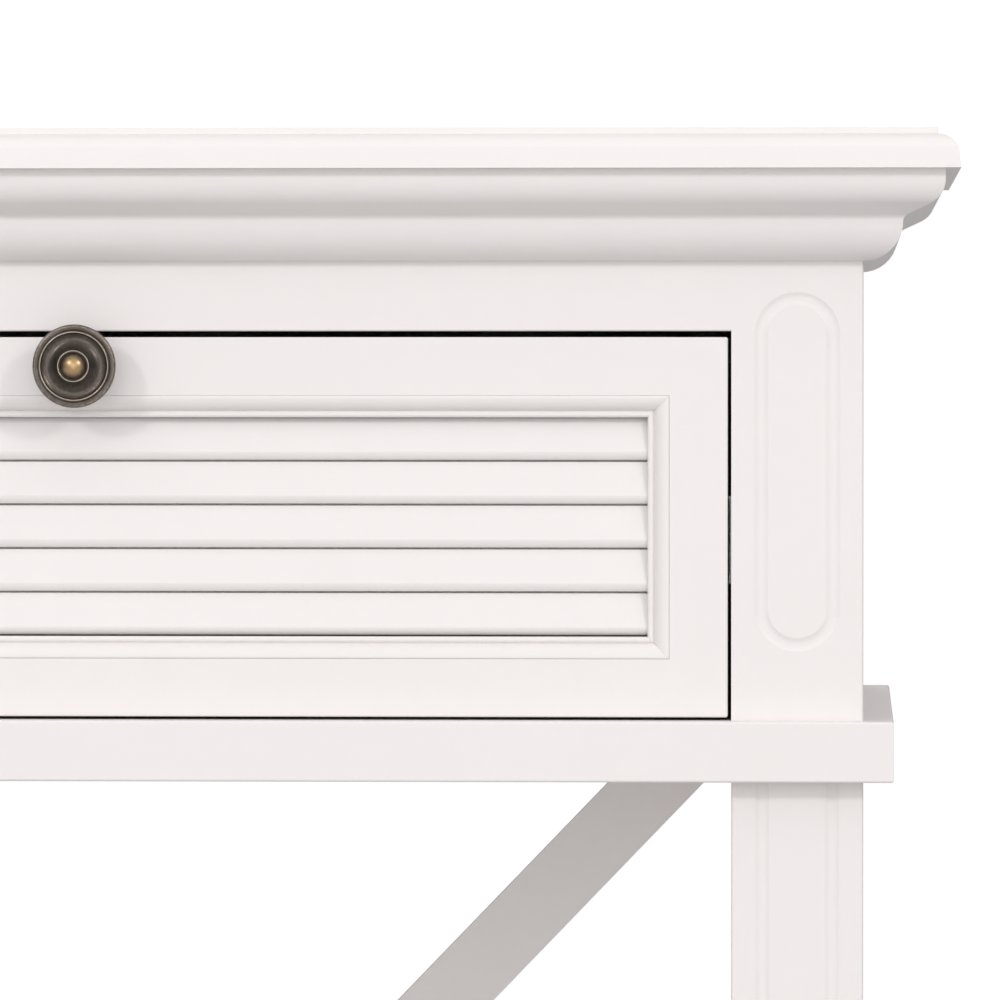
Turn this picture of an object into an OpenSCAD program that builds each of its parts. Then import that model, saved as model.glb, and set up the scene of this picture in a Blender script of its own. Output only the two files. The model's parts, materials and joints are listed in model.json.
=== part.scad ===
// Console table with two drawers, a moulded top, a belt board, a low shelf and a braced back.
// Millimetres. X runs along the table, the front faces -Y, and Z = 0 is the floor.

/* [Overall] */
// Length of the top
table_w = 1268; // [1100:1:1560]
// Depth of the top, front to back
table_d = 400; // [370:1:500]
// Height of the top surface above the floor
table_h = 850; // [700:1:1030]

/* [Top board] */
// Thickness of the top board
top_t = 16; // [12:0.5:20]
// Overhang of the top past the posts, at the front and both ends
top_overhang = 38; // [36:1:50]
// Height of the raised step along the top's edge
top_step = 2.4; // [1:0.2:4]
// Distance of the step from the top's edge
top_step_inset = 9; // [8.5:0.5:14]
// Radius of the rounded edge below the step
top_edge_r = 9.3; // [7:0.1:9.3]
// Distance by which the edge leans out towards the top's underside
top_lean = 1; // [0:0.1:1]

/* [Cornice] */
// Height of the cornice moulding
cornice_h = 36; // [33:0.5:48]
// Projection of the cornice past the posts
cornice_p = 32; // [26:0.5:36]
// Height of the flat band at the cornice's top
cornice_band = 4.2; // [2:0.2:6]
// Radius of the cornice's upper round
cornice_upper_r = 10.5; // [6:0.5:11]
// Radius of the hollow between the rounds
cornice_cove_r = 3; // [2:0.5:4]
// Projection of the lower round, at the neck between the rounds
neck_p = 15.5; // [12:0.5:17]
// Depth of the neck below the cornice's top
neck_drop = 20.5; // [19:0.5:23]

/* [Case] */
// Width of the square posts and legs
post_w = 52.2; // [44:0.2:64]
// Height of the top rail that shows below the cornice
rail_show = 27.6; // [20:0.2:40]
// Thickness of the front rail and the centre stile
rail_t = 22; // [18:0.5:27]
// Height of the drawer openings
opening_h = 154; // [128:0.5:185]
// Thickness of the side panels
side_t = 18; // [12:1:22]
// Thickness of the back panel
back_t = 12; // [6:1:16]
// Thickness of the centre divider
divider_t = 18; // [12:1:22]
// Height of the packers behind the drawer slides
packer_h = 42; // [36:1:50]
// Side of the square battens under the top
batten_w = 20; // [16:1:26]

/* [Belt and shelf] */
// Thickness of the case bottom, whose edge is the belt
belt_t = 24; // [18:0.5:30]
// Projection of the belt and shelf past the posts
belt_out = 12; // [6:0.5:18]
// Thickness of the lower shelf
shelf_t = 24; // [18:0.5:30]
// Height of the lower shelf's top surface above the floor
shelf_z = 98; // [80:1:140]
// Radius of the eased board edges
board_ease = 1; // [0.6:0.2:4]
// Thickness of the floor glides
glide_t = 4; // [2:0.5:6]
// Diameter of the floor glides
glide_d = 26; // [20:1:34]

/* [Grooves] */
// Width of the cut grooves on posts and legs
groove_w = 5.8; // [3:0.1:6.6]
// Depth of the cut grooves
groove_depth = 0.9; // [0.7:0.1:2.4]
// Outer width of the round-ended groove on a post
loop_w = 34.2; // [28:0.2:38]
// Space between the cornice and the top of that groove
loop_top = 12; // [6:1:20]
// Space between the belt and the bottom of that groove
loop_bottom = 27; // [12:1:40]
// Distance of a leg's flutes from its centre line
flute_off = 13.8; // [9:0.2:16]

/* [Braces] */
// Width of a brace across its face
brace_w = 30; // [20:1:40]
// Thickness of a brace
brace_t = 20; // [16:1:28]
// Diameter of all the dowels
dowel_d = 8; // [6:0.5:10]
// Depth of a dowel in a leg, post or foot
dowel_in = 30; // [15:1:40]

/* [Drawer fronts] */
// Gap beside a drawer front
gap_side = 1.4; // [0.8:0.1:3]
// Gap above a drawer front
gap_top = 2.4; // [1:0.1:4]
// Gap below a drawer front
gap_bottom = 1.2; // [0.8:0.1:3]
// Width of the stiles and rails of a drawer front
frame_w = 23; // [18:0.5:26]
// Width of the mitred moulding inside the frame
moulding_w = 8.8; // [7:0.1:11]
// Depth of the moulding from front to back
moulding_t = 4.4; // [4.2:0.1:5.5]
// Radius of the bead along the moulding's inner edge
bead_r = 1.25; // [0.8:0.05:1.6]
// Number of louvre slats in a drawer front
slat_count = 5; // [4:1:5]
// Thickness of a slat at its thick lower part
slat_t = 10; // [8:0.5:12]
// Set-back of a slat's face under the nose of the slat above
slat_recess = 3; // [2.2:0.1:4]
// Radius of the nose along a slat's lower edge
nose_r = 4.5; // [3:0.1:5]
// Height by which a slat's tongue passes behind the nose above it
slat_lap = 2; // [1:0.5:4]
// Play between a tongue and the slat above it
slat_play = 0.3; // [0.1:0.05:0.5]
// Height of the slot below a slat's nose
slat_slot = 0.8; // [0.4:0.1:1.6]
// Height of the first slat behind the moulding's top strip
slat_tuck = 0.6; // [0.2:0.1:2]
// Gap below the last slat's nose
slat_foot_gap = 0.5; // [0.2:0.1:1]

/* [Knobs] */
// Diameter of a knob
knob_d = 33; // [26:0.5:38]
// Projection of a knob from the drawer front
knob_p = 24; // [20:0.5:30]
// Diameter of a knob's neck
knob_neck_d = 12; // [10:0.5:14]
// Radius of the knob screws
screw_r = 2; // [1.5:0.1:2.5]

/* [Drawer boxes] */
// Thickness of the drawer box boards
box_t = 12; // [9:0.5:15]
// Thickness of the drawer bottoms
bottom_t = 6; // [4:0.5:8]
// Depth of the groove that holds a drawer bottom
bottom_groove = 5; // [3:0.5:6]
// Clearance between a knob screw's head and the drawer box below it
box_below_screw = 4; // [1:0.5:8]
// Space below a drawer box
box_lift = 10; // [6:1:14]
// Height of a drawer bottom above the box's lower edge
bottom_lift = 8; // [6:1:14]

/* [Slides] */
// Length of a drawer slide
slide_l = 300; // [250:1:310]
// How far a drawer pulls out
travel = 225; // [180:1:230]
// Width taken by a slide beside a drawer box
slide_space = 12.7; // [12:0.1:14]
// Height of a slide's fixed channel
channel_h = 35; // [32:0.5:38]
// Thickness of the slides' steel
steel_t = 1.2; // [1:0.1:1.4]
// Diameter of the slides' balls
ball_d = 4; // [3:0.1:4.8]
// Play between balls and steel
ball_play = 0.15; // [0.1:0.05:0.25]
// Gap between a fixed channel and the drawer box
channel_gap = 3.2; // [2.5:0.1:4]
// Gap between an inner member and the packer behind the channel
inner_gap = 4; // [3.6:0.1:4.4]

/* [Hidden] */

$fn = 48;
arc_steps = 8;

paint = "#efebea";
raw_wood = "#c8a878";
steel = "#b4b8bc";
bronze = "#5a5048";
nylon = "#40403e";

// Case outline
case_w = table_w - 2 * top_overhang;
post_in = case_w / 2 - post_w;
back_y = table_d / 2;
face_y = -table_d / 2 + top_overhang;
post_back_y = face_y + post_w;
rear_post_y = back_y - post_w;

// Levels, from the top down
top_under_z = table_h - top_t;
cornice_under_z = top_under_z - cornice_h;
rail_under_z = cornice_under_z - rail_show;
belt_top_z = rail_under_z - opening_h;
belt_under_z = belt_top_z - belt_t;
foot_top_z = shelf_z - shelf_t;

// Drawer openings and fronts
opening_w = post_in - post_w / 2;
drawer_x = (post_in + post_w / 2) / 2;
front_w = opening_w - 2 * gap_side;
front_top_z = rail_under_z - gap_top;
front_under_z = belt_top_z + gap_bottom;
inner_w = front_w - 2 * frame_w;
inner_top_z = front_top_z - frame_w;
inner_under_z = front_under_z + frame_w;
knob_z = front_top_z - frame_w / 2;
front_back_y = face_y + rail_t;

// Louvre slats
louvre_top_z = inner_top_z - moulding_w + slat_tuck;
louvre_under_z = inner_under_z + moulding_w + slat_foot_gap;
slat_pitch = (louvre_top_z - louvre_under_z) / slat_count;
slat_front_y = face_y + moulding_t + slat_play;
tongue_in = (slat_recess + slat_t) / 2;

// Drawer boxes and slides
box_w = opening_w - 2 * slide_space;
box_under_z = belt_top_z + box_lift;
box_h = knob_z - 2 * screw_r - box_below_screw - box_under_z;
slide_z = box_under_z + box_h / 2;
slide_front_y = front_back_y + 1;
box_back_y = slide_front_y + slide_l;
channel_reach = slide_space - channel_gap;
channel_lip = 2.2;
ball_z = channel_h / 2 - steel_t - ball_d / 2 - ball_play;
inner_h = 2 * (ball_z - ball_d / 2 - ball_play);
cage_t = 0.8;
cage_play = 0.5;
cage_l = slide_l - travel - 2 * cage_play;
cage_web = steel_t + 2 * cage_play;
cage_reach = channel_reach - steel_t - cage_play;
cage_balls = 3;

// Braces: their lower edges run into the corners below the belt
bay_w = opening_w;
bay_h = belt_under_z - shelf_z;
// Run of a brace's edge: (bay_w - run) * bay_h = brace_w * norm([run, bay_h])
run_a = bay_h * bay_h - brace_w * brace_w;
run_b = bay_w * bay_h * bay_h;
run_c = bay_h * bay_h * (bay_w * bay_w - brace_w * brace_w);
brace_run = (run_b - sqrt(run_b * run_b - run_a * run_c)) / run_a;
brace_cut = bay_w - brace_run;
brace_y = back_y - post_w / 2 - brace_t / 2;
brace_dowel_in = 12;

post_mid_x = case_w / 2 - post_w / 2;
front_mid_y = face_y + post_w / 2;
rear_mid_y = back_y - post_w / 2;
corner_spots = [for (x = [-post_mid_x, post_mid_x]) for (y = [front_mid_y, rear_mid_y]) [x, y]];
centre_spot = [0, rear_mid_y];
leg_spots = concat(corner_spots, [centre_spot]);
brace_ends = [for (side = [-1, 1]) for (x = [post_w / 2 + brace_cut / 2, post_in - brace_cut / 2])
    [side * x, rear_mid_y]];

// Battens and their screws
batten_screw_in = 10;
batten_screw_y = [for (k = [-1:1]) (post_back_y + rear_post_y) / 2 + k * 90];
batten_mid_x = case_w / 2 - side_t - batten_w / 2;
glide_pin_d = 5;
glide_pin_l = 16;

// ---- Helpers ----

// Points along an arc about c, from angle a0 to a1
function arc(c, r, a0, a1) =
    [for (i = [0:arc_steps]) let (a = a0 + (a1 - a0) * i / arc_steps) c + r * [cos(a), sin(a)]];

module block(x, y, z) {
    translate([x[0], y[0], z[0]]) cube([x[1] - x[0], y[1] - y[0], z[1] - z[0]]);
}

module upright(spot, r, z0, z1) {
    translate([spot[0], spot[1], z0]) cylinder(r = r, h = z1 - z0);
}

// A shape drawn in (Y, Z) and run along X
module run_x(x0, x1) {
    translate([x0, 0, 0]) rotate([90, 0, 90]) linear_extrude(height = x1 - x0) children();
}

// A shape drawn in (X, Z) and run along Y
module run_y(y0, y1) {
    translate([0, y1, 0]) rotate([90, 0, 0]) linear_extrude(height = y1 - y0) children();
}

// A board whose front and end edges all carry one profile of [inset, height] points
module edged_board(half_w, front, back, z0, t, profile) {
    n = len(profile);
    intersection() {
        run_x(-half_w - 1, half_w + 1)
            polygon(concat([[back, z0]], [for (p = profile) [front + p[0], z0 + p[1]]],
                           [[back, z0 + t]]));
        run_y(front - 1, back + 1)
            polygon(concat([for (p = profile) [-half_w + p[0], z0 + p[1]]],
                           [for (i = [n - 1:-1:0]) [half_w - profile[i][0], z0 + profile[i][1]]]));
    }
}

function eased_edge(t) =
    concat(arc([board_ease, board_ease], board_ease, 270, 180),
           arc([board_ease, t - board_ease], board_ease, 180, 90));

// ---- Top and cornice ----

top_arc_start = 159.4;
top_arc_end = 97.8;
top_edge =
    concat([[0, 0]],
           arc([top_lean - top_edge_r * cos(top_arc_start),
                top_t - top_step - top_edge_r * sin(top_arc_end)],
               top_edge_r, top_arc_start, top_arc_end),
           [[top_step_inset, top_t - top_step], [top_step_inset, top_t]]);

module top_board() {
    color(paint) difference() {
        edged_board(table_w / 2, -table_d / 2, back_y, top_under_z, top_t, top_edge);
        for (side = [-1, 1]) for (y = batten_screw_y)
            upright([side * batten_mid_x, y], screw_r, top_under_z - 1,
                    top_under_z + batten_screw_in);
    }
}

// Outline of the cornice: [projection, height] with its back on the posts. The lower round
// is a quarter of an ellipse that ends at the posts.
cornice_lower_h = cornice_h - neck_drop;
cornice_outline =
    concat([[0, 0], [cornice_p, 0]],
           arc([cornice_p - cornice_upper_r, -cornice_band], cornice_upper_r, 0, -65),
           arc([neck_p + cornice_cove_r, -neck_drop], cornice_cove_r, 115, 180),
           [for (p = arc([0, 0], 1, -9, -90))
               [neck_p * p[0], cornice_lower_h * p[1] - neck_drop]]);

// Plan area of the front moulding between its two mitres
module cornice_front_plan() {
    w = case_w / 2;
    far = cornice_p + 10;
    polygon([[-w, face_y], [w, face_y], [w + far, face_y - far], [-w - far, face_y - far]]);
}

module cornice_front() {
    color(paint) intersection() {
        run_x(-case_w / 2 - cornice_p, case_w / 2 + cornice_p)
            translate([face_y, top_under_z]) mirror([1, 0]) polygon(cornice_outline);
        translate([0, 0, cornice_under_z - 1])
            linear_extrude(height = cornice_h + 2) cornice_front_plan();
    }
}

module cornice_side(side) {
    color(paint) mirror([side < 0 ? 1 : 0, 0, 0]) difference() {
        run_y(face_y - cornice_p, back_y)
            translate([case_w / 2, top_under_z]) polygon(cornice_outline);
        translate([0, 0, cornice_under_z - 1])
            linear_extrude(height = cornice_h + 2) cornice_front_plan();
    }
}

// ---- Upper case ----

// A round-bottomed groove cutter's radius and how far its centre stands off the face
cutter_r = (groove_w * groove_w / 4 + groove_depth * groove_depth) / (2 * groove_depth);
cutter_off = cutter_r - groove_depth;

module loop_groove() {
    bend_r = (loop_w - groove_w) / 2;
    high = cornice_under_z - loop_top - loop_w / 2;
    low = belt_top_z + loop_bottom + loop_w / 2;
    translate([0, face_y - cutter_off, 0]) {
        for (side = [-1, 1]) upright([side * bend_r, 0], cutter_r, low, high);
        translate([0, 0, high]) rotate([90, 0, 0])
            rotate_extrude(angle = 180) translate([bend_r, 0]) circle(r = cutter_r);
        translate([0, 0, low]) rotate([90, 180, 0])
            rotate_extrude(angle = 180) translate([bend_r, 0]) circle(r = cutter_r);
    }
}

module post(spot) {
    color(paint) difference() {
        block([spot[0] - post_w / 2, spot[0] + post_w / 2],
              [spot[1] - post_w / 2, spot[1] + post_w / 2], [belt_top_z, top_under_z]);
        upright(spot, dowel_d / 2, belt_top_z - 1, belt_top_z + dowel_in);
        if (spot[1] < 0) translate([spot[0], 0, 0]) loop_groove();
    }
}

module top_rail() {
    color(paint) block([-post_in, post_in], [face_y, front_back_y], [rail_under_z, top_under_z]);
}

module centre_stile() {
    color(paint) block([-post_w / 2, post_w / 2], [face_y, front_back_y],
                       [belt_top_z, rail_under_z]);
}

module centre_divider() {
    color(raw_wood) block([-divider_t / 2, divider_t / 2], [front_back_y, back_y - back_t],
                          [belt_top_z, top_under_z]);
}

module side_panel(side) {
    color(paint) mirror([side < 0 ? 1 : 0, 0, 0])
        block([case_w / 2 - side_t, case_w / 2], [post_back_y, rear_post_y],
              [belt_top_z, top_under_z]);
}

module back_panel() {
    color(paint) block([-post_in, post_in], [back_y - back_t, back_y],
                       [belt_top_z, top_under_z]);
}

module slide_packers() {
    level = [slide_z - packer_h / 2, slide_z + packer_h / 2];
    color(raw_wood) for (side = [0, 1]) mirror([side, 0, 0]) {
        block([post_in, case_w / 2 - side_t], [post_back_y, rear_post_y], level);
        block([divider_t / 2, post_w / 2], [front_back_y, back_y - back_t], level);
    }
}

module top_battens() {
    color(raw_wood) for (side = [-1, 1]) difference() {
        block([side * batten_mid_x - batten_w / 2, side * batten_mid_x + batten_w / 2],
              [post_back_y, rear_post_y], [top_under_z - batten_w, top_under_z]);
        for (y = batten_screw_y)
            upright([side * batten_mid_x, y], screw_r, top_under_z - batten_w - 1,
                    top_under_z + 1);
    }
}

module batten_screws() {
    color(steel) for (side = [-1, 1]) for (y = batten_screw_y)
        translate([side * batten_mid_x, y, top_under_z - batten_w]) {
            cylinder(r = screw_r, h = batten_w + batten_screw_in);
            translate([0, 0, -2.5]) cylinder(r = 2 * screw_r, h = 2.5);
        }
}

// ---- Belt, legs, shelf and feet ----

module brace_dowel_holes(z0, z1) {
    for (spot = brace_ends) upright(spot, dowel_d / 2, z0, z1);
}

module case_bottom() {
    color(paint) difference() {
        edged_board(case_w / 2 + belt_out, face_y - belt_out, back_y, belt_under_z, belt_t,
                    eased_edge(belt_t));
        for (spot = corner_spots)
            upright(spot, dowel_d / 2, belt_under_z - 1, belt_top_z + 1);
        upright(centre_spot, dowel_d / 2, belt_under_z - 1, belt_under_z + brace_dowel_in);
        brace_dowel_holes(belt_under_z - 1, belt_under_z + brace_dowel_in);
    }
}

module shelf_board() {
    color(paint) difference() {
        edged_board(case_w / 2 + belt_out, face_y - belt_out, back_y, foot_top_z, shelf_t,
                    eased_edge(shelf_t));
        for (spot = leg_spots) upright(spot, dowel_d / 2, foot_top_z - 1, shelf_z + 1);
        brace_dowel_holes(shelf_z - brace_dowel_in, shelf_z + 1);
    }
}

module leg(spot, fluted) {
    color(paint) difference() {
        block([spot[0] - post_w / 2, spot[0] + post_w / 2],
              [spot[1] - post_w / 2, spot[1] + post_w / 2], [shelf_z, belt_under_z]);
        upright(spot, dowel_d / 2, belt_under_z - dowel_in, belt_under_z + 1);
        upright(spot, dowel_d / 2, shelf_z - 1, shelf_z + dowel_in);
        if (fluted) for (side = [-1, 1])
            upright([spot[0] + side * flute_off, face_y - cutter_off], cutter_r, shelf_z - 1,
                    belt_under_z + 1);
    }
}

module feet() {
    color(paint) for (spot = leg_spots) difference() {
        block([spot[0] - post_w / 2, spot[0] + post_w / 2],
              [spot[1] - post_w / 2, spot[1] + post_w / 2], [glide_t, foot_top_z]);
        upright(spot, dowel_d / 2, foot_top_z - dowel_in, foot_top_z + 1);
        upright(spot, glide_pin_d / 2, glide_t - 1, glide_t + glide_pin_l);
    }
}

module floor_glides() {
    color(nylon) for (spot = leg_spots) {
        upright(spot, glide_d / 2, 0, glide_t);
        upright(spot, glide_pin_d / 2, 0, glide_t + glide_pin_l);
    }
}

module dowels() {
    color(raw_wood) {
        for (spot = corner_spots)
            upright(spot, dowel_d / 2, belt_under_z - dowel_in, belt_top_z + dowel_in);
        upright(centre_spot, dowel_d / 2, belt_under_z - dowel_in,
                belt_under_z + brace_dowel_in);
        for (spot = leg_spots)
            upright(spot, dowel_d / 2, foot_top_z - dowel_in, shelf_z + dowel_in);
        for (spot = brace_ends) {
            upright(spot, dowel_d / 2, belt_under_z - brace_dowel_in,
                    belt_under_z + brace_dowel_in);
            upright(spot, dowel_d / 2, shelf_z - brace_dowel_in, shelf_z + brace_dowel_in);
        }
    }
}

// ---- Braces ----

// One arm of a bay's X in (X, Z): it rises away from the centre, or towards it
module brace_outline(outward) {
    low = outward ? post_w / 2 : post_in - brace_cut;
    high = outward ? post_in - brace_cut : post_w / 2;
    polygon([[low, shelf_z], [low + brace_cut, shelf_z], [high + brace_cut, belt_under_z],
             [high, belt_under_z]]);
}

module brace(side, outward) {
    half_y = brace_y + brace_t / 2;
    color(paint) mirror([side < 0 ? 1 : 0, 0, 0]) difference() {
        run_y(brace_y, brace_y + brace_t) brace_outline(outward);
        run_y(outward ? half_y : brace_y - 1, outward ? half_y + brace_t : half_y)
            brace_outline(!outward);
        brace_dowel_holes(belt_under_z - brace_dowel_in, belt_under_z + 1);
        brace_dowel_holes(shelf_z - 1, shelf_z + brace_dowel_in);
    }
}

// ---- Drawer fronts ----

module front_rail(z0, z1) {
    color(paint) block([-inner_w / 2, inner_w / 2], [face_y, front_back_y], [z0, z1]);
}

module drawer_top_rail() {
    difference() {
        front_rail(inner_top_z, front_top_z);
        translate([0, front_back_y + 1, knob_z]) rotate([90, 0, 0])
            cylinder(r = screw_r + 0.2, h = rail_t + 2);
    }
}

module drawer_stiles() {
    color(paint) for (side = [0, 1]) mirror([side, 0, 0])
        block([inner_w / 2, front_w / 2], [face_y, front_back_y],
              [front_under_z, front_top_z]);
}

// Moulding outline: [distance in from the frame, height above its face]
lip = 0.8;
lip_h = 0.3;
ovolo_r = moulding_w - lip - 2 * bead_r;
mitre_play = 0.02;
moulding_outline =
    concat([[0, -moulding_t], [0, lip_h - lip]],
           arc([lip, lip_h - lip], lip, 180, 90),
           arc([lip, lip_h - ovolo_r], ovolo_r, 85, 15),
           arc([moulding_w - bead_r, lip_h - ovolo_r + bead_r], bead_r, 160, 0),
           [[moulding_w, -moulding_t]]);

// One moulding strip along a frame edge of the given length, mitred at both ends
module moulding_strip(length) {
    half = length / 2 - mitre_play;
    far = 2 * moulding_w;
    intersection() {
        run_x(-half, half) polygon([for (p = moulding_outline) [-p[1], -p[0]]]);
        run_y(-moulding_t, 2 * moulding_t)
            polygon([[-half, 0], [half, 0], [half - far, -far], [far - half, -far]]);
    }
}

module drawer_moulding() {
    inner_h_z = inner_top_z - inner_under_z;
    mid_z = (inner_top_z + inner_under_z) / 2;
    color(paint) translate([0, face_y, mid_z]) for (turn = [0:3])
        rotate([0, 90 * turn, 0])
            translate([0, 0, turn % 2 == 0 ? inner_h_z / 2 : inner_w / 2])
                moulding_strip(turn % 2 == 0 ? inner_w : inner_h_z);
}

// A slat's section in [depth, height]: a rounded nose at its foot, a face that slopes back
// to the slot below the nose above, and a tongue that rises behind that nose
nose_end = 50;
slat_outline =
    concat(arc([nose_r, nose_r * sin(nose_end)], nose_r, 180 + nose_end, 180),
           [[slat_recess, slat_pitch - slat_slot], [tongue_in, slat_pitch - slat_slot],
            [tongue_in, slat_pitch + slat_lap], [slat_t, slat_pitch + slat_lap],
            [slat_t, slat_lap + slat_play], [tongue_in - slat_play, slat_lap + slat_play],
            [tongue_in - slat_play, 0]]);

module drawer_louvre_slats() {
    color(paint) for (k = [1:slat_count])
        run_x(-inner_w / 2, inner_w / 2)
            translate([slat_front_y, louvre_top_z - k * slat_pitch]) polygon(slat_outline);
}

// ---- Knobs ----

knob_r = knob_d / 2;
neck_r = knob_neck_d / 2;
screw_in_knob = 9;
rim_r = 1.4;
dome_r = 5.2;
dome_h = 2.6;
dome_ball_r = (dome_r * dome_r + dome_h * dome_h) / (2 * dome_h);
ring_r = 0.5;
ring_out = dome_r + 2 * ring_r;
dish_z = knob_p - dome_h - ring_r;
dish_half = (knob_r - 2 * rim_r - ring_out) / 2;
dish_r = 14;
dish_lean = asin(dish_half / dish_r);

// Outline of a knob: [radius, height above the drawer front]
knob_outline =
    concat([[0, 0], [neck_r + 2, 0], [neck_r + 2, 1.5]],
           arc([neck_r + 4, 5], 4, 225, 135),
           [[knob_r - 3, dish_z - 3.4]],
           arc([knob_r - rim_r, dish_z - 0.4], rim_r, -60, 115),
           arc([ring_out + dish_half, dish_z + dish_r * cos(dish_lean)], dish_r,
               -90 + dish_lean, -90 - dish_lean),
           arc([dome_r + ring_r, dish_z + ring_r / 2], ring_r, 0, 150),
           arc([0, knob_p - dome_ball_r], dome_ball_r, acos(dome_r / dome_ball_r), 90));

module drawer_knob() {
    color(bronze) translate([0, face_y, knob_z]) rotate([90, 0, 0]) difference() {
        rotate_extrude() polygon(knob_outline);
        translate([0, 0, -1]) cylinder(r = screw_r, h = 1 + screw_in_knob);
    }
}

module drawer_knob_screw() {
    head_t = 2.5;
    color(steel) translate([0, front_back_y, knob_z]) rotate([90, 0, 0]) {
        cylinder(r = screw_r, h = rail_t + screw_in_knob);
        translate([0, 0, -head_t]) cylinder(r = 2 * screw_r, h = head_t);
    }
}

// ---- Drawer boxes ----

bottom_z = box_under_z + bottom_lift;
box_level = [box_under_z, box_under_z + box_h];
box_front_in_y = front_back_y + box_t;
box_back_in_y = box_back_y - box_t;

module bottom_sheet() {
    half_w = box_w / 2 - box_t + bottom_groove;
    block([-half_w, half_w], [box_front_in_y - bottom_groove, box_back_in_y + bottom_groove],
          [bottom_z, bottom_z + bottom_t]);
}

module drawer_box_front() {
    color(raw_wood) difference() {
        block([-box_w / 2, box_w / 2], [front_back_y, box_front_in_y], box_level);
        bottom_sheet();
    }
}

module drawer_box_sides() {
    color(raw_wood) for (side = [0, 1]) mirror([side, 0, 0]) difference() {
        block([box_w / 2 - box_t, box_w / 2], [box_front_in_y, box_back_y], box_level);
        bottom_sheet();
    }
}

module drawer_box_back() {
    color(raw_wood) difference() {
        block([-box_w / 2 + box_t, box_w / 2 - box_t], [box_back_in_y, box_back_y], box_level);
        bottom_sheet();
    }
}

module drawer_box_bottom() {
    color(raw_wood) bottom_sheet();
}

// ---- Drawer slides ----

// Slide sections are drawn in (X, Z) at the opening's edge, with -X towards the drawer
module on_both_edges() {
    for (side = [0, 1]) mirror([side, 0, 0]) translate([opening_w / 2, 0, slide_z]) children();
}

module channel_section() {
    h = channel_h / 2;
    difference() {
        translate([-channel_reach, -h]) square([channel_reach, 2 * h]);
        translate([-channel_reach + steel_t, -h + steel_t])
            square([channel_reach - 2 * steel_t, 2 * (h - steel_t)]);
        translate([-channel_reach - 1, -h + steel_t + channel_lip])
            square([channel_reach, 2 * (h - steel_t - channel_lip)]);
    }
}

module inner_section() {
    h = inner_h / 2;
    difference() {
        translate([-slide_space, -h]) square([slide_space - inner_gap, 2 * h]);
        translate([-slide_space + steel_t, -h + steel_t])
            square([slide_space, 2 * (h - steel_t)]);
    }
}

module drawer_slide_channels() {
    color(steel) on_both_edges()
        run_y(slide_front_y, slide_front_y + slide_l) channel_section();
}

module drawer_slide_inners() {
    color(steel) on_both_edges()
        run_y(slide_front_y, slide_front_y + slide_l) inner_section();
}

module cage_frame() {
    h = ball_z + cage_t / 2;
    run_y(0, cage_l) difference() {
        translate([-cage_reach, -h]) square([cage_reach - cage_web, 2 * h]);
        translate([-cage_reach - 1, -h + cage_t])
            square([cage_reach - cage_web - cage_t + 1, 2 * (h - cage_t)]);
    }
}

module drawer_ball_cages() {
    ball_x = -(cage_reach + cage_web + cage_t) / 2;
    ball_y = [for (i = [0:cage_balls - 1]) cage_l * (i + 0.5) / cage_balls];
    color(steel) on_both_edges() translate([0, slide_front_y + travel / 2 + cage_play, 0]) {
        difference() {
            cage_frame();
            for (y = ball_y) for (level = [-1, 1])
                translate([ball_x, y, level * ball_z - ball_d / 2])
                    cylinder(d = ball_d + 0.1, h = ball_d);
        }
        for (y = ball_y) for (level = [-1, 1])
            translate([ball_x, y, level * ball_z]) sphere(d = ball_d);
    }
}

// ---- Nodes ----

module at_drawer(side) {
    translate([side * drawer_x, 0, 0]) children();
}

top_board();
cornice_front();
cornice_side(-1);  // cornice_left
cornice_side(1);  // cornice_right
top_rail();
post([-post_mid_x, front_mid_y]);  // post_front_left
post([post_mid_x, front_mid_y]);  // post_front_right
post([-post_mid_x, rear_mid_y]);  // post_rear_left
post([post_mid_x, rear_mid_y]);  // post_rear_right
centre_stile();
centre_divider();
side_panel(-1);  // side_panel_left
side_panel(1);  // side_panel_right
back_panel();
slide_packers();
top_battens();
batten_screws();
case_bottom();
leg([-post_mid_x, front_mid_y], true);  // leg_front_left
leg([post_mid_x, front_mid_y], true);  // leg_front_right
leg([-post_mid_x, rear_mid_y], false);  // leg_rear_left
leg([post_mid_x, rear_mid_y], false);  // leg_rear_right
leg(centre_spot, false);  // leg_rear_centre
brace(-1, true);  // brace_left_outward
brace(-1, false);  // brace_left_inward
brace(1, true);  // brace_right_outward
brace(1, false);  // brace_right_inward
shelf_board();
feet();
floor_glides();
dowels();
for (side = [["left", -1], ["right", 1]]) at_drawer(side[1]) {
    name = str("drawer_", side[0], "_");
    drawer_top_rail();
    front_rail(front_under_z, inner_under_z);
    drawer_stiles();
    drawer_moulding();
    drawer_louvre_slats();
    drawer_knob();
    drawer_knob_screw();
    drawer_box_front();
    drawer_box_sides();
    drawer_box_back();
    drawer_box_bottom();
    drawer_slide_inners();
    drawer_slide_channels();
    drawer_ball_cages();
}
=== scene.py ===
import json
import math

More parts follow.
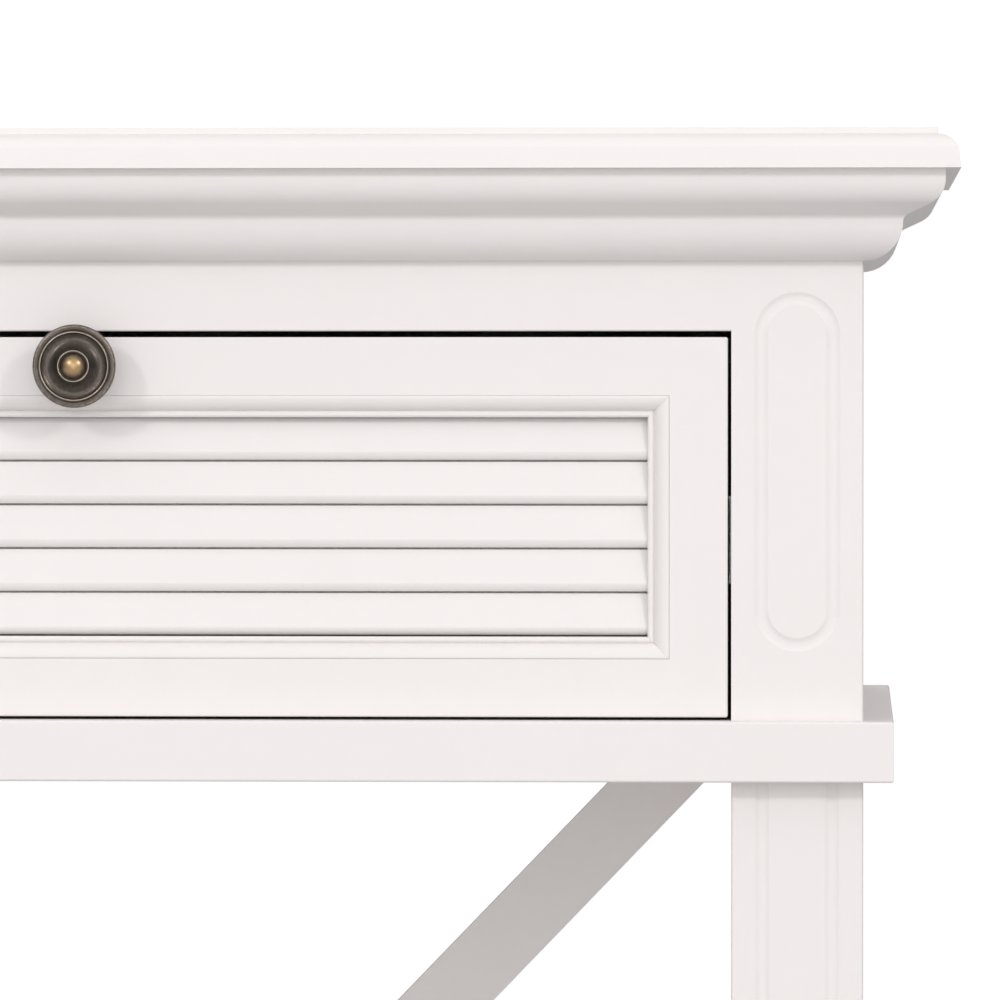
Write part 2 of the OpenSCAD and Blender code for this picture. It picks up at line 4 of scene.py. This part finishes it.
import bmesh
import bpy
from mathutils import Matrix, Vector


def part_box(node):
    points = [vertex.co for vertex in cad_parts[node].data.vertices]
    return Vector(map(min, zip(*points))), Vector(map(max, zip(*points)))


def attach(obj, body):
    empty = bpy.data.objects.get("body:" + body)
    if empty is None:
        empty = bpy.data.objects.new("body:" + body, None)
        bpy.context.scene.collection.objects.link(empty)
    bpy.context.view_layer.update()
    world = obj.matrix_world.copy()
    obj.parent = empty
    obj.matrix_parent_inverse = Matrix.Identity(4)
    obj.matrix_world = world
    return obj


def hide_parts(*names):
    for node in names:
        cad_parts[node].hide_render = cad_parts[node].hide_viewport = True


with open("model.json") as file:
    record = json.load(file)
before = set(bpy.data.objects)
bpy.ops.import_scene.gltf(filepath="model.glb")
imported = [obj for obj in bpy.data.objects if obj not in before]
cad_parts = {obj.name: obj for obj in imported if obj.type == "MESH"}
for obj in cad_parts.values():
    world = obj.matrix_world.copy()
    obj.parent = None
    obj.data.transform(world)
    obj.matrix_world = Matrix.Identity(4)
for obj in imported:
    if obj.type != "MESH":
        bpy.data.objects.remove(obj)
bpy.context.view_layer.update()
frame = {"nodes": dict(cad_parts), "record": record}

# Looks of the console table. Metres; the front faces -Y and Z = 0 is the floor.

NODES = frame["nodes"]
SLOT_OF = {part["node"]: part["material_slot"] for part in frame["record"]["subparts"]}
SIDES = ("left", "right")
X, Z = 0, 2
MM = 0.001


# ---- Camera ----

CAMERA_BACK = 3.165  # from the front face of the case
CAMERA_IN = 0.0055  # from the case's right end, towards the middle
CAMERA_DOWN = 0.095  # from the top surface
CAMERA_TURN = math.radians(2.50)
CAMERA_DIP = math.radians(0.93)
SENSOR = 36.0
LENS = 288.25
CLIP_NEAR = 0.05
CLIP_FAR = 100

post_low, post_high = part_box("post_front_right")
FACE_Y = post_low.y
CASE_X = post_high.x
TABLE_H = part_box("top_board")[1].z


def add_camera():
    data = bpy.data.cameras.new("camera")
    data.sensor_width = SENSOR
    data.lens = LENS
    data.clip_start = CLIP_NEAR
    data.clip_end = CLIP_FAR
    camera = bpy.data.objects.new("camera", data)
    camera.location = (CASE_X - CAMERA_IN, FACE_Y - CAMERA_BACK, TABLE_H - CAMERA_DOWN)
    camera.rotation_euler = (math.pi / 2 - CAMERA_DIP, 0, CAMERA_TURN)
    bpy.context.scene.collection.objects.link(camera)
    bpy.context.scene.camera = camera


# ---- Node helpers ----


def map_range(tree, value, span, result, smooth=False):
    """Maps value from span to result, each given as its low end and its high end."""
    node = tree.nodes.new("ShaderNodeMapRange")
    if smooth:
        node.interpolation_type = "SMOOTHSTEP"
    ends = zip(("From Min", "From Max", "To Min", "To Max"), (*span, *result))
    for name, number in ends:
        node.inputs[name].default_value = number
    tree.links.new(value, node.inputs["Value"])
    return node.outputs["Result"]


def math_node(tree, kind, *values):
    """A Math node; each value is a number or an output."""
    node = tree.nodes.new("ShaderNodeMath")
    node.operation = kind
    for value, socket in zip(values, node.inputs):
        if isinstance(value, (int, float)):
            socket.default_value = value
        else:
            tree.links.new(value, socket)
    return node.outputs[0]


# ---- Light and surroundings ----

AIM_OUT = 0.55  # share of the way from the middle to the case's right end
AIM_UP = 0.8  # share of the table's height
LIGHT_AIM = Vector((CASE_X * AIM_OUT, FACE_Y, TABLE_H * AIM_UP))
LIGHT_DISTANCE = 3.2
LIGHTS = {  # azimuth and elevation in degrees, size, power
    "key_left": (-31, 24.5, 0.34, 12.1),
    "key_right": (38, 24.5, 0.34, 13.2),
    "fill_front": (0, 5, 2.0, 9.6),
    "fill_back": (180, 30, 1.5, 8.0),
}
ROOM_FRONT = (0.0, -0.9, 0.44)  # the room is brightest this way: in front and above
ROOM_FACING = (-0.7, 1.0)  # how far a direction agrees with that, at the dim and bright ends
ROOM_STRENGTH = (0.43, 1.14)  # the room's strength at those two ends
ENDS_FROM = 0.4  # how far sideways a direction points where the room starts to dim
ENDS_SHARE = 0.45
GLOSSY_SHARE = 0.6
SEEN_STRENGTH = 1.02
WHITE = (1, 1, 1, 1)
FLOOR_HALF = 5.8


def add_light(name, azimuth, elevation, size, power):
    """A round soft light aimed at the case from a fixed distance; azimuth 0 is in front."""
    turn, rise = math.radians(azimuth), math.radians(elevation)
    towards = Vector((math.sin(turn) * math.cos(rise), -math.cos(turn) * math.cos(rise),
                      math.sin(rise)))
    data = bpy.data.lights.new(name, "AREA")
    data.shape = "DISK"
    data.size = size
    data.energy = power
    light = bpy.data.objects.new(name, data)
    light.location = LIGHT_AIM + towards * LIGHT_DISTANCE
    light.rotation_mode = "QUATERNION"
    light.rotation_quaternion = (-towards).to_track_quat("-Z", "Y")
    light.visible_camera = False
    bpy.context.scene.collection.objects.link(light)


def add_world():
    """White to look at, and a soft room to be lit by: brightest in front, dimmer at the ends."""
    world = bpy.data.worlds.new("studio")
    bpy.context.scene.world = world
    world.use_nodes = True
    tree = world.node_tree
    tree.nodes.clear()
    link = tree.links.new
    direction = tree.nodes.new("ShaderNodeTexCoord").outputs["Generated"]
    facing = tree.nodes.new("ShaderNodeVectorMath")
    facing.operation = "DOT_PRODUCT"
    facing.inputs[1].default_value = ROOM_FRONT
    link(direction, facing.inputs[0])
    split = tree.nodes.new("ShaderNodeSeparateXYZ")
    link(direction, split.inputs[0])
    path = tree.nodes.new("ShaderNodeLightPath")
    front = map_range(tree, facing.outputs["Value"], ROOM_FACING, ROOM_STRENGTH, smooth=True)
    dimmer = map_range(tree, path.outputs["Is Glossy Ray"], (0, 1), (1, GLOSSY_SHARE))
    sideways = math_node(tree, "ABSOLUTE", split.outputs["X"])
    ends = map_range(tree, sideways, (ENDS_FROM, 1), (1, ENDS_SHARE))
    strength = math_node(tree, "MULTIPLY", front, dimmer)
    strength = math_node(tree, "MULTIPLY", strength, ends)
    room = tree.nodes.new("ShaderNodeBackground")
    room.inputs["Color"].default_value = WHITE
    link(strength, room.inputs["Strength"])
    seen = tree.nodes.new("ShaderNodeBackground")
    seen.inputs["Color"].default_value = WHITE
    seen.inputs["Strength"].default_value = SEEN_STRENGTH
    mix = tree.nodes.new("ShaderNodeMixShader")
    link(path.outputs["Is Camera Ray"], mix.inputs[0])
    link(room.outputs[0], mix.inputs[1])
    link(seen.outputs[0], mix.inputs[2])
    out = tree.nodes.new("ShaderNodeOutputWorld")
    link(mix.outputs[0], out.inputs[0])


def add_floor(material):
    mesh = bpy.data.meshes.new("floor")
    corners = [(-FLOOR_HALF, -FLOOR_HALF, 0), (FLOOR_HALF, -FLOOR_HALF, 0),
               (FLOOR_HALF, FLOOR_HALF, 0), (-FLOOR_HALF, FLOOR_HALF, 0)]
    mesh.from_pydata(corners, [], [(0, 1, 2, 3)])
    floor = bpy.data.objects.new("floor", mesh)
    floor.data.materials.append(material)
    bpy.context.scene.collection.objects.link(floor)


# ---- Material helpers ----

IOR = 1.45
NOISE_SPAN = (0.3, 0.7)  # where most of a noise's values lie
FULL = (0.0, 1.0)


class Surface:
    """One material with a Principled shader and short calls for its nodes."""

    def __init__(self, name, color, roughness, metallic=0.0):
        self.material = bpy.data.materials.new(name)
        self.material.use_nodes = True
        self.tree = self.material.node_tree
        self.shader = self.tree.nodes["Principled BSDF"]
        self.shader.inputs["Base Color"].default_value = (*color, 1)
        self.shader.inputs["Roughness"].default_value = roughness
        self.shader.inputs["Metallic"].default_value = metallic
        self.shader.inputs["IOR"].default_value = IOR
        self.coords = self.tree.nodes.new("ShaderNodeTexCoord").outputs["Object"]
        self.normal = None

    def link(self, a, b):
        self.tree.links.new(a, b)

    def place(self, scale, shift=(0, 0, 0)):
        """Coordinates stretched by scale, in repeats per metre."""
        mapping = self.tree.nodes.new("ShaderNodeMapping")
        mapping.inputs["Scale"].default_value = scale
        mapping.inputs["Location"].default_value = shift
        self.link(self.coords, mapping.inputs["Vector"])
        return mapping.outputs["Vector"]

    def noise(self, vector, detail=2.0, roughness=0.5):
        node = self.tree.nodes.new("ShaderNodeTexNoise")
        node.inputs["Scale"].default_value = 1.0
        node.inputs["Detail"].default_value = detail
        node.inputs["Roughness"].default_value = roughness
        self.link(vector, node.inputs["Vector"])
        return node.outputs["Fac"]

    def spread(self, value, span=NOISE_SPAN, result=FULL):
        return map_range(self.tree, value, span, result)

    def math(self, kind, a, b):
        return math_node(self.tree, kind, a, b)

    def mixed(self, a, share_a, b, share_b):
        return self.math("ADD", self.math("MULTIPLY", a, share_a),
                         self.math("MULTIPLY", b, share_b))

    def blend(self, fac, a, b, kind="MIX"):
        """Colour a where the output fac is 0 and b where it is 1; each is a colour or an output."""
        node = self.tree.nodes.new("ShaderNodeMix")
        node.data_type = "RGBA"
        node.blend_type = kind
        self.link(fac, node.inputs["Factor"])
        for value, socket in ((a, node.inputs["A"]), (b, node.inputs["B"])):
            if isinstance(value, tuple):
                socket.default_value = (*value, 1)
            else:
                self.link(value, socket)
        return node.outputs["Result"]

    def bump(self, height, strength, distance):
        node = self.tree.nodes.new("ShaderNodeBump")
        node.inputs["Strength"].default_value = strength
        node.inputs["Distance"].default_value = distance
        self.link(height, node.inputs["Height"])
        if self.normal is not None:
            self.link(self.normal, node.inputs["Normal"])
        self.normal = node.outputs["Normal"]
        self.link(self.normal, self.shader.inputs["Normal"])

    def color(self, output):
        self.link(output, self.shader.inputs["Base Color"])

    def rough(self, output):
        self.link(output, self.shader.inputs["Roughness"])


def even(scale):
    """The same scale along all three axes."""
    return (scale, scale, scale)


def along(axis, along_scale, across_scale):
    """A scale that is small along one axis, so that a pattern runs along it."""
    return tuple(along_scale if name == axis else across_scale for name in "xyz")


# ---- Materials ----

PAINT = (0.835, 0.795, 0.785)
PAINT_LOW = (0.825, 0.787, 0.776)
PAINT_HIGH = (0.845, 0.803, 0.794)
SOFTWOOD = {"light": (0.62, 0.45, 0.28), "dark": (0.42, 0.27, 0.14), "pith": (1.3, 2.1, 0.7)}
BEECH = {"light": (0.66, 0.47, 0.30), "dark": (0.50, 0.33, 0.19), "pith": (0.4, 0.9, 1.7)}
ZINC = (0.62, 0.63, 0.65)
ZINC_LOW = (0.56, 0.57, 0.60)
ZINC_HIGH = (0.68, 0.68, 0.69)
NYLON = (0.05, 0.05, 0.05)
NYLON_LOW = (0.045, 0.045, 0.047)
NYLON_HIGH = (0.06, 0.06, 0.06)
PATINA_LIGHT = (0.160, 0.142, 0.128)
PATINA_BROWN = (0.120, 0.096, 0.080)
PATINA_DARK = (0.060, 0.045, 0.036)
# Pale rubbed metal; on the knob's shoulder it also serves as a painted highlight
RUBBED_METAL_AND_HIGHLIGHT = (0.55, 0.48, 0.41)
BARE_BRASS = (0.56, 0.38, 0.20)
RUBBED_SPAN = (0.25, 0.85)  # wear at which the metal starts and ends showing through
FLOOR = even(0.55)
FLOOR_LOW = even(0.53)
FLOOR_HIGH = even(0.57)


def white_paint(axis):
    """Sprayed satin lacquer, with the wood's grain faintly felt through it along one axis."""
    paint = Surface("white_paint_" + axis, PAINT, 0.42)
    cloud = paint.noise(paint.place(even(7)), detail=3)
    mottle = paint.noise(paint.place(even(55), shift=(3, 1, 2)), detail=2)
    tone = paint.mixed(cloud, 0.6, mottle, 0.4)
    paint.color(paint.blend(paint.spread(tone), PAINT_LOW, PAINT_HIGH))
    grain = paint.noise(paint.place(along(axis, 9, 420)), detail=4, roughness=0.6)
    peel = paint.noise(paint.place(even(650)), detail=1)
    paint.rough(paint.spread(mottle, result=(0.38, 0.46)))
    paint.bump(grain, 0.12, 0.0002)
    paint.bump(peel, 0.08, 0.0001)
    return paint.material


def bare_wood(name, axis, light, dark, pith):
    """Clear-sealed wood: rings about a pith beside the board, fine fibres and pores along it."""
    wood = Surface(name, light, 0.55)
    rings = wood.tree.nodes.new("ShaderNodeTexWave")
    rings.wave_type = "RINGS"
    rings.rings_direction = axis.upper()
    rings.wave_profile = "SAW"
    rings.inputs["Scale"].default_value = 1.0
    rings.inputs["Distortion"].default_value = 2.2
    rings.inputs["Detail"].default_value = 2.0
    rings.inputs["Detail Scale"].default_value = 0.6
    wood.link(wood.place(along(axis, 1.6, 38), shift=pith), rings.inputs["Vector"])
    fibre = wood.noise(wood.place(along(axis, 14, 900)), detail=4, roughness=0.65)
    patch = wood.noise(wood.place(along(axis, 3, 22)), detail=3)
    tone = wood.mixed(rings.outputs["Fac"], 0.45, fibre, 0.55)
    grain = wood.blend(wood.spread(tone, (0.25, 0.75)), light, dark)
    wood.color(wood.blend(wood.spread(patch, result=(0.0, 0.35)), grain, dark, "MULTIPLY"))
    wood.rough(wood.spread(fibre, result=(0.46, 0.64)))
    wood.bump(fibre, 0.25, 0.0002)
    return wood.material


def zinc_steel():
    """Zinc-plated strip: cloudy, with the fine lines of its drawing along Y."""
    steel = Surface("zinc_steel", ZINC, 0.34, metallic=1.0)
    cloud = steel.noise(steel.place(even(60)), detail=3)
    drawn = steel.noise(steel.place(along("y", 12, 2200)), detail=3, roughness=0.6)
    steel.color(steel.blend(steel.spread(cloud), ZINC_LOW, ZINC_HIGH))
    steel.rough(steel.spread(drawn, result=(0.26, 0.42)))
    steel.bump(drawn, 0.15, 0.00005)
    return steel.material


def glide_nylon():
    nylon = Surface("glide_nylon", NYLON, 0.5)
    grain = nylon.noise(nylon.place(even(1500)), detail=2)
    nylon.color(nylon.blend(grain, NYLON_LOW, NYLON_HIGH))
    nylon.rough(nylon.spread(grain, result=(0.42, 0.58)))
    nylon.bump(grain, 0.2, 0.0001)
    return nylon.material


def old_bronze():
    """Dark patina, rubbed pale along the rings and down to brass on the dome; the pale band round
    the shoulder is partly rubbing and partly a painted highlight.
    """
    bronze = Surface("old_bronze", PATINA_LIGHT, 0.40, metallic=1.0)
    patchy = bronze.noise(bronze.place(even(700)), detail=4, roughness=0.65)
    cloud = bronze.noise(bronze.place(even(160)), detail=3)
    ragged = bronze.math("MULTIPLY", bronze.math("SUBTRACT", patchy, 0.5), 0.8)

    def rubbed(name):
        worn_and_highlight = bronze.tree.nodes.new("ShaderNodeAttribute")
        worn_and_highlight.attribute_name = name
        return bronze.spread(bronze.math("ADD", worn_and_highlight.outputs["Fac"], ragged), RUBBED_SPAN)

    patina = bronze.blend(bronze.spread(cloud), PATINA_LIGHT, PATINA_BROWN)
    patina = bronze.blend(bronze.spread(patchy, (0.35, 0.7), (0.0, 0.5)), patina, PATINA_DARK)
    # Pale metal: rubbing on the rings, and on the shoulder partly rubbing, partly a painted
    # highlight
    metal = bronze.blend(rubbed("wear_and_highlight"), patina, RUBBED_METAL_AND_HIGHLIGHT)
    bronze.color(bronze.blend(rubbed("gilt"), metal, BARE_BRASS))
    bronze.rough(bronze.spread(patchy, result=(0.29, 0.41)))
    bronze.bump(patchy, 0.12, 0.0001)
    return bronze.material


def pale_floor():
    floor = Surface("pale_floor", FLOOR, 0.7)
    cloud = floor.noise(floor.place(even(1.2)), detail=3)
    floor.color(floor.blend(cloud, FLOOR_LOW, FLOOR_HIGH))
    return floor.material


# ---- Eased edges ----

PAINTED_EASE = 0.0004
FRAME_EASE = 0.0008
POST_EASE = 0.0010
SLAT_EASE = 0.0002
RAW_EASE = 0.0004
METAL_EASE = 0.00015
MITRE_EASE = 0.00005
EASE_FROM = math.radians(32)
TIMBER_EASE_FROM = math.radians(45)
EASE_STEPS = 3
WELD = 1e-6
FLAT = math.radians(0.5)
ON_PLANE = 1e-5


def soft_normals(piece, keep_sharp=False):
    normals = piece.modifiers.new("normals", "WEIGHTED_NORMAL")
    normals.keep_sharp = keep_sharp


def ease_edges(node, width):
    """Welds the node's facets, merges flat ones and rounds its edges by width."""
    weld = node.modifiers.new("weld", "WELD")
    weld.merge_threshold = WELD
    flat = node.modifiers.new("flat", "DECIMATE")
    flat.decimate_type = "DISSOLVE"
    flat.angle_limit = FLAT
    ease = node.modifiers.new("ease", "BEVEL")
    ease.width = width
    ease.segments = EASE_STEPS
    ease.limit_method = "ANGLE"
    ease.angle_limit = EASE_FROM
    ease.use_clamp_overlap = True
    soft_normals(node)


def joint_planes(name):
    """Planes where a timber meets its neighbours, as (axis, place); its edges there stay sharp."""
    low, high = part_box(name)
    if name == "top_rail":
        return [(X, low.x), (X, high.x), (Z, high.z)]
    if name.startswith("post_front_"):
        inner = low.x if name.endswith("right") else high.x
        return [(X, inner), (Z, low.z), (Z, high.z)]
    if name.startswith("drawer_"):
        drawer = name.rsplit("_", 2 if name.endswith("_rail") else 1)[0]
        rail_low, rail_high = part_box(drawer + "_top_rail")
        return [(X, rail_low.x), (X, rail_high.x), (Z, rail_low.z),
                (Z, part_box(drawer + "_bottom_rail")[1].z)]
    return [(Z, low.z), (Z, high.z)]


def add_timber(name, width, material):
    """The node's timber with its free edges rounded by width and its joints left tight."""
    planes = joint_planes(name)
    work = bmesh.new()
    work.from_mesh(NODES[name].data)
    bmesh.ops.remove_doubles(work, verts=work.verts, dist=WELD)
    bmesh.ops.dissolve_limit(work, angle_limit=FLAT, verts=work.verts, edges=work.edges)

    def in_joint(face):
        return any(all(abs(v.co[axis] - place) < ON_PLANE for v in face.verts)
                   for axis, place in planes)

    free = [edge for edge in work.edges
            if len(edge.link_faces) == 2 and edge.calc_face_angle() > TIMBER_EASE_FROM
            and not any(in_joint(face) for face in edge.link_faces)]
    bmesh.ops.bevel(work, geom=free, offset=width, offset_type="OFFSET", segments=EASE_STEPS,
                    profile=0.5, affect="EDGES", clamp_overlap=True)
    for face in work.faces:
        face.smooth = True
    for edge in work.edges:
        edge.smooth = len(edge.link_faces) != 2 or edge.calc_face_angle() < TIMBER_EASE_FROM
    mesh = bpy.data.meshes.new(name)
    work.to_mesh(mesh)
    work.free()
    mesh.materials.append(material)
    piece = bpy.data.objects.new("timber_" + name, mesh)
    bpy.context.scene.collection.objects.link(piece)
    soft_normals(piece, keep_sharp=True)
    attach(piece, "_".join(name.split("_")[:2]) if name.startswith("drawer_") else "table")
    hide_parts(name)


# ---- Knobs ----

LATHE_STEPS = 128
DISH_STEPS = 24
ON_AXIS = 1e-7

# Radii are from the knob's axis. The base and neck stand on the drawer front.
BASE_R = 8.2 * MM
BASE_ROUND = 0.6 * MM
NECK_R = 5.8 * MM
NECK_HOLLOW = 5.0 * MM
NECK_UP = 7.2 * MM
UNDER_ROUND = 1.4 * MM
SHOULDER_R = 0.9 * MM
RING_R = 0.28 * MM
RING_AT = 13.45 * MM
HUB_AT = 6.05 * MM
DOME_R = 5.1 * MM

# Depths below the crest of the dome, and the dish's slopes at its inner and outer ends.
DOME_FOOT_DOWN = 2.4 * MM
HUB_DOWN = 1.9 * MM
DISH_DOWN = 0.7 * MM  # below the hub
INNER_SLOPE = -1.5
OUTER_SLOPE = 0.8

# Wear is 1 where the metal is rubbed bare and below 0 where the patina is deepest.
# Shoulder: partly real rubbing, partly a painted highlight where the rounded rim catches the light
SHOULDER_WEAR_AND_HIGHLIGHT = 0.42
RING_WEAR = 0.8
BAND_WEAR = -0.1
RING_FOOT_WEAR = -0.5
HUB_FOOT_WEAR = -0.4
MOST_GILT = 0.95
GILT_FALL = 1.9


def arc(centre, radius, start, end, steps, wear_and_highlight=0.0):
    """Points (radius, height, wear, gilt) along an arc, with angles in degrees."""
    points = []
    for i in range(steps + 1):
        angle = math.radians(start + (end - start) * i / steps)
        points.append((centre[0] + radius * math.cos(angle),
                       centre[1] + radius * math.sin(angle), wear_and_highlight, 0.0))
    return points


def knob_outline(radius, height):
    """Outline of the knob from the drawer front to the crest of its dome, in metres."""
    dome_foot = height - DOME_FOOT_DOWN
    hub_top = height - HUB_DOWN
    dish_in = HUB_AT + RING_R
    dish_out = RING_AT - RING_R
    dish_top = hub_top - DISH_DOWN
    dish_span = dish_out - dish_in
    dish_end = dish_top + dish_span * (INNER_SLOPE + OUTER_SLOPE) / 2
    ring_top = dish_end + 0.6 * MM
    band_top = dish_end - 0.55 * MM
    out = [(0, 0, 0, 0), (BASE_R - 0.3 * MM, 0, 0, 0)]
    out += arc((BASE_R - BASE_ROUND, 0.9 * MM), BASE_ROUND, -60, 80, 6)
    out += arc((NECK_R + NECK_HOLLOW, NECK_UP), NECK_HOLLOW, 250, 150, 14)
    out += arc((radius - 2.2 * MM, band_top - 2.9 * MM), UNDER_ROUND, -70, -20, 5)
    # The shoulder's pale band is a painted highlight as well as rubbing
    out += arc((radius - SHOULDER_R, band_top - SHOULDER_R), SHOULDER_R, -25, 80, 12,
               SHOULDER_WEAR_AND_HIGHLIGHT)
    out += [(RING_AT + 1.3 * MM, band_top, 0, 0),
            (RING_AT + 0.8 * MM, band_top - 0.1 * MM, BAND_WEAR, 0),
            (RING_AT + 0.5 * MM, band_top - 0.35 * MM, RING_FOOT_WEAR, 0),
            (RING_AT + RING_R, band_top - 0.2 * MM, RING_FOOT_WEAR, 0)]
    out += arc((RING_AT, ring_top - RING_R), RING_R, 0, 180, 10, RING_WEAR)
    for i in range(DISH_STEPS + 1):
        t = 1 - i / DISH_STEPS
        fall = INNER_SLOPE * t + (OUTER_SLOPE - INNER_SLOPE) * t * t / 2
        out.append((dish_in + dish_span * t, dish_top + dish_span * fall, 0, 0))
    out += arc((HUB_AT, hub_top - RING_R), RING_R, 0, 180, 10, RING_WEAR)
    out += [(HUB_AT - RING_R - 0.05 * MM, dome_foot - 0.5 * MM, HUB_FOOT_WEAR, 0),
            (DOME_R + 0.1 * MM, dome_foot - 0.6 * MM, HUB_FOOT_WEAR, 0)]
    rise = height - dome_foot
    ball_r = (DOME_R * DOME_R + rise * rise) / (2 * rise)
    foot = math.degrees(math.acos(DOME_R / ball_r))
    for r, h, _, _ in arc((0, height - ball_r), ball_r, foot, 90, 20):
        out.append((max(r, 0), h, 0, min(MOST_GILT, GILT_FALL * (1 - r / DOME_R))))
    return out


def add_knob(side, material):
    """One knob turned from its outline, with its wear and gilt stored on its points."""
    node = f"drawer_{side}_knob"
    low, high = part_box(node)
    centre = (low + high) / 2
    outline = knob_outline((high.x - low.x) / 2, high.y - low.y)
    mesh = bpy.data.meshes.new(node)
    work = bmesh.new()
    wear_and_highlight = work.verts.layers.float.new("wear_and_highlight")
    gilt = work.verts.layers.float.new("gilt")
    rows = []
    for r, h, worn_and_highlight, golden in outline:
        turns = 1 if r < ON_AXIS else LATHE_STEPS
        row = []
        for i in range(turns):
            angle = 2 * math.pi * i / LATHE_STEPS
            vertex = work.verts.new((centre.x + r * math.cos(angle), high.y - h,
                                     centre.z + r * math.sin(angle)))
            vertex[wear_and_highlight] = worn_and_highlight
            vertex[gilt] = golden
            row.append(vertex)
        rows.append(row)
    for a, b in zip(rows, rows[1:]):
        for i in range(LATHE_STEPS):
            j = (i + 1) % LATHE_STEPS
            corners = [a[i % len(a)], a[j % len(a)], b[j % len(b)], b[i % len(b)]]
            face = work.faces.new(list(dict.fromkeys(corners)))
            face.smooth = True
    bmesh.ops.recalc_face_normals(work, faces=work.faces)
    work.to_mesh(mesh)
    work.free()
    mesh.materials.append(material)
    knob = bpy.data.objects.new(f"knob_{side}", mesh)
    bpy.context.scene.collection.objects.link(knob)
    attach(knob, f"drawer_{side}")
    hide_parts(node)


# ---- Build ----

EASE_OF = {"white_paint": PAINTED_EASE, "raw_wood": RAW_EASE, "beech": RAW_EASE,
           "steel": METAL_EASE, "nylon": RAW_EASE, "bronze": METAL_EASE}


def grain_axis(name):
    """The axis that a node's boards run along: its longest side, or X in a drawer's panel."""
    if "moulding" in name or "louvre" in name:
        return "x"
    low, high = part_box(name)
    spans = high - low
    return "xyz"[max(range(3), key=lambda k: spans[k])]


def timber_width(name):
    """How far a timber's free edges are rounded, or nothing for other nodes."""
    if name.startswith(("post_", "leg_")):
        return POST_EASE
    if (name in ("top_rail", "centre_stile")
            or name.endswith(("_top_rail", "_bottom_rail", "_stiles"))):
        return FRAME_EASE
    return None


add_camera()
for name, settings in LIGHTS.items():
    add_light(name, *settings)
add_world()
add_floor(pale_floor())

paints = {axis: white_paint(axis) for axis in "xyz"}
woods = {axis: bare_wood("bare_wood_" + axis, axis, **SOFTWOOD) for axis in "xyz"}
finishes = {"beech": bare_wood("beech", "z", **BEECH), "steel": zinc_steel(),
            "nylon": glide_nylon(), "bronze": old_bronze()}

for name, node in NODES.items():
    slot = SLOT_OF[name]
    axis = grain_axis(name)
    finish = {"white_paint": paints[axis], "raw_wood": woods[axis], **finishes}[slot]
    node.data.materials.clear()
    node.data.materials.append(finish)
    if timber_width(name):
        add_timber(name, timber_width(name), finish)
    elif name.startswith("cornice") or name.endswith("moulding"):
        ease_edges(node, MITRE_EASE)
    elif name.endswith("louvre_slats"):
        ease_edges(node, SLAT_EASE)
    else:
        ease_edges(node, EASE_OF[slot])

for side in SIDES:
    add_knob(side, finishes["bronze"])

bpy.context.scene.view_settings.view_transform = "Standard"
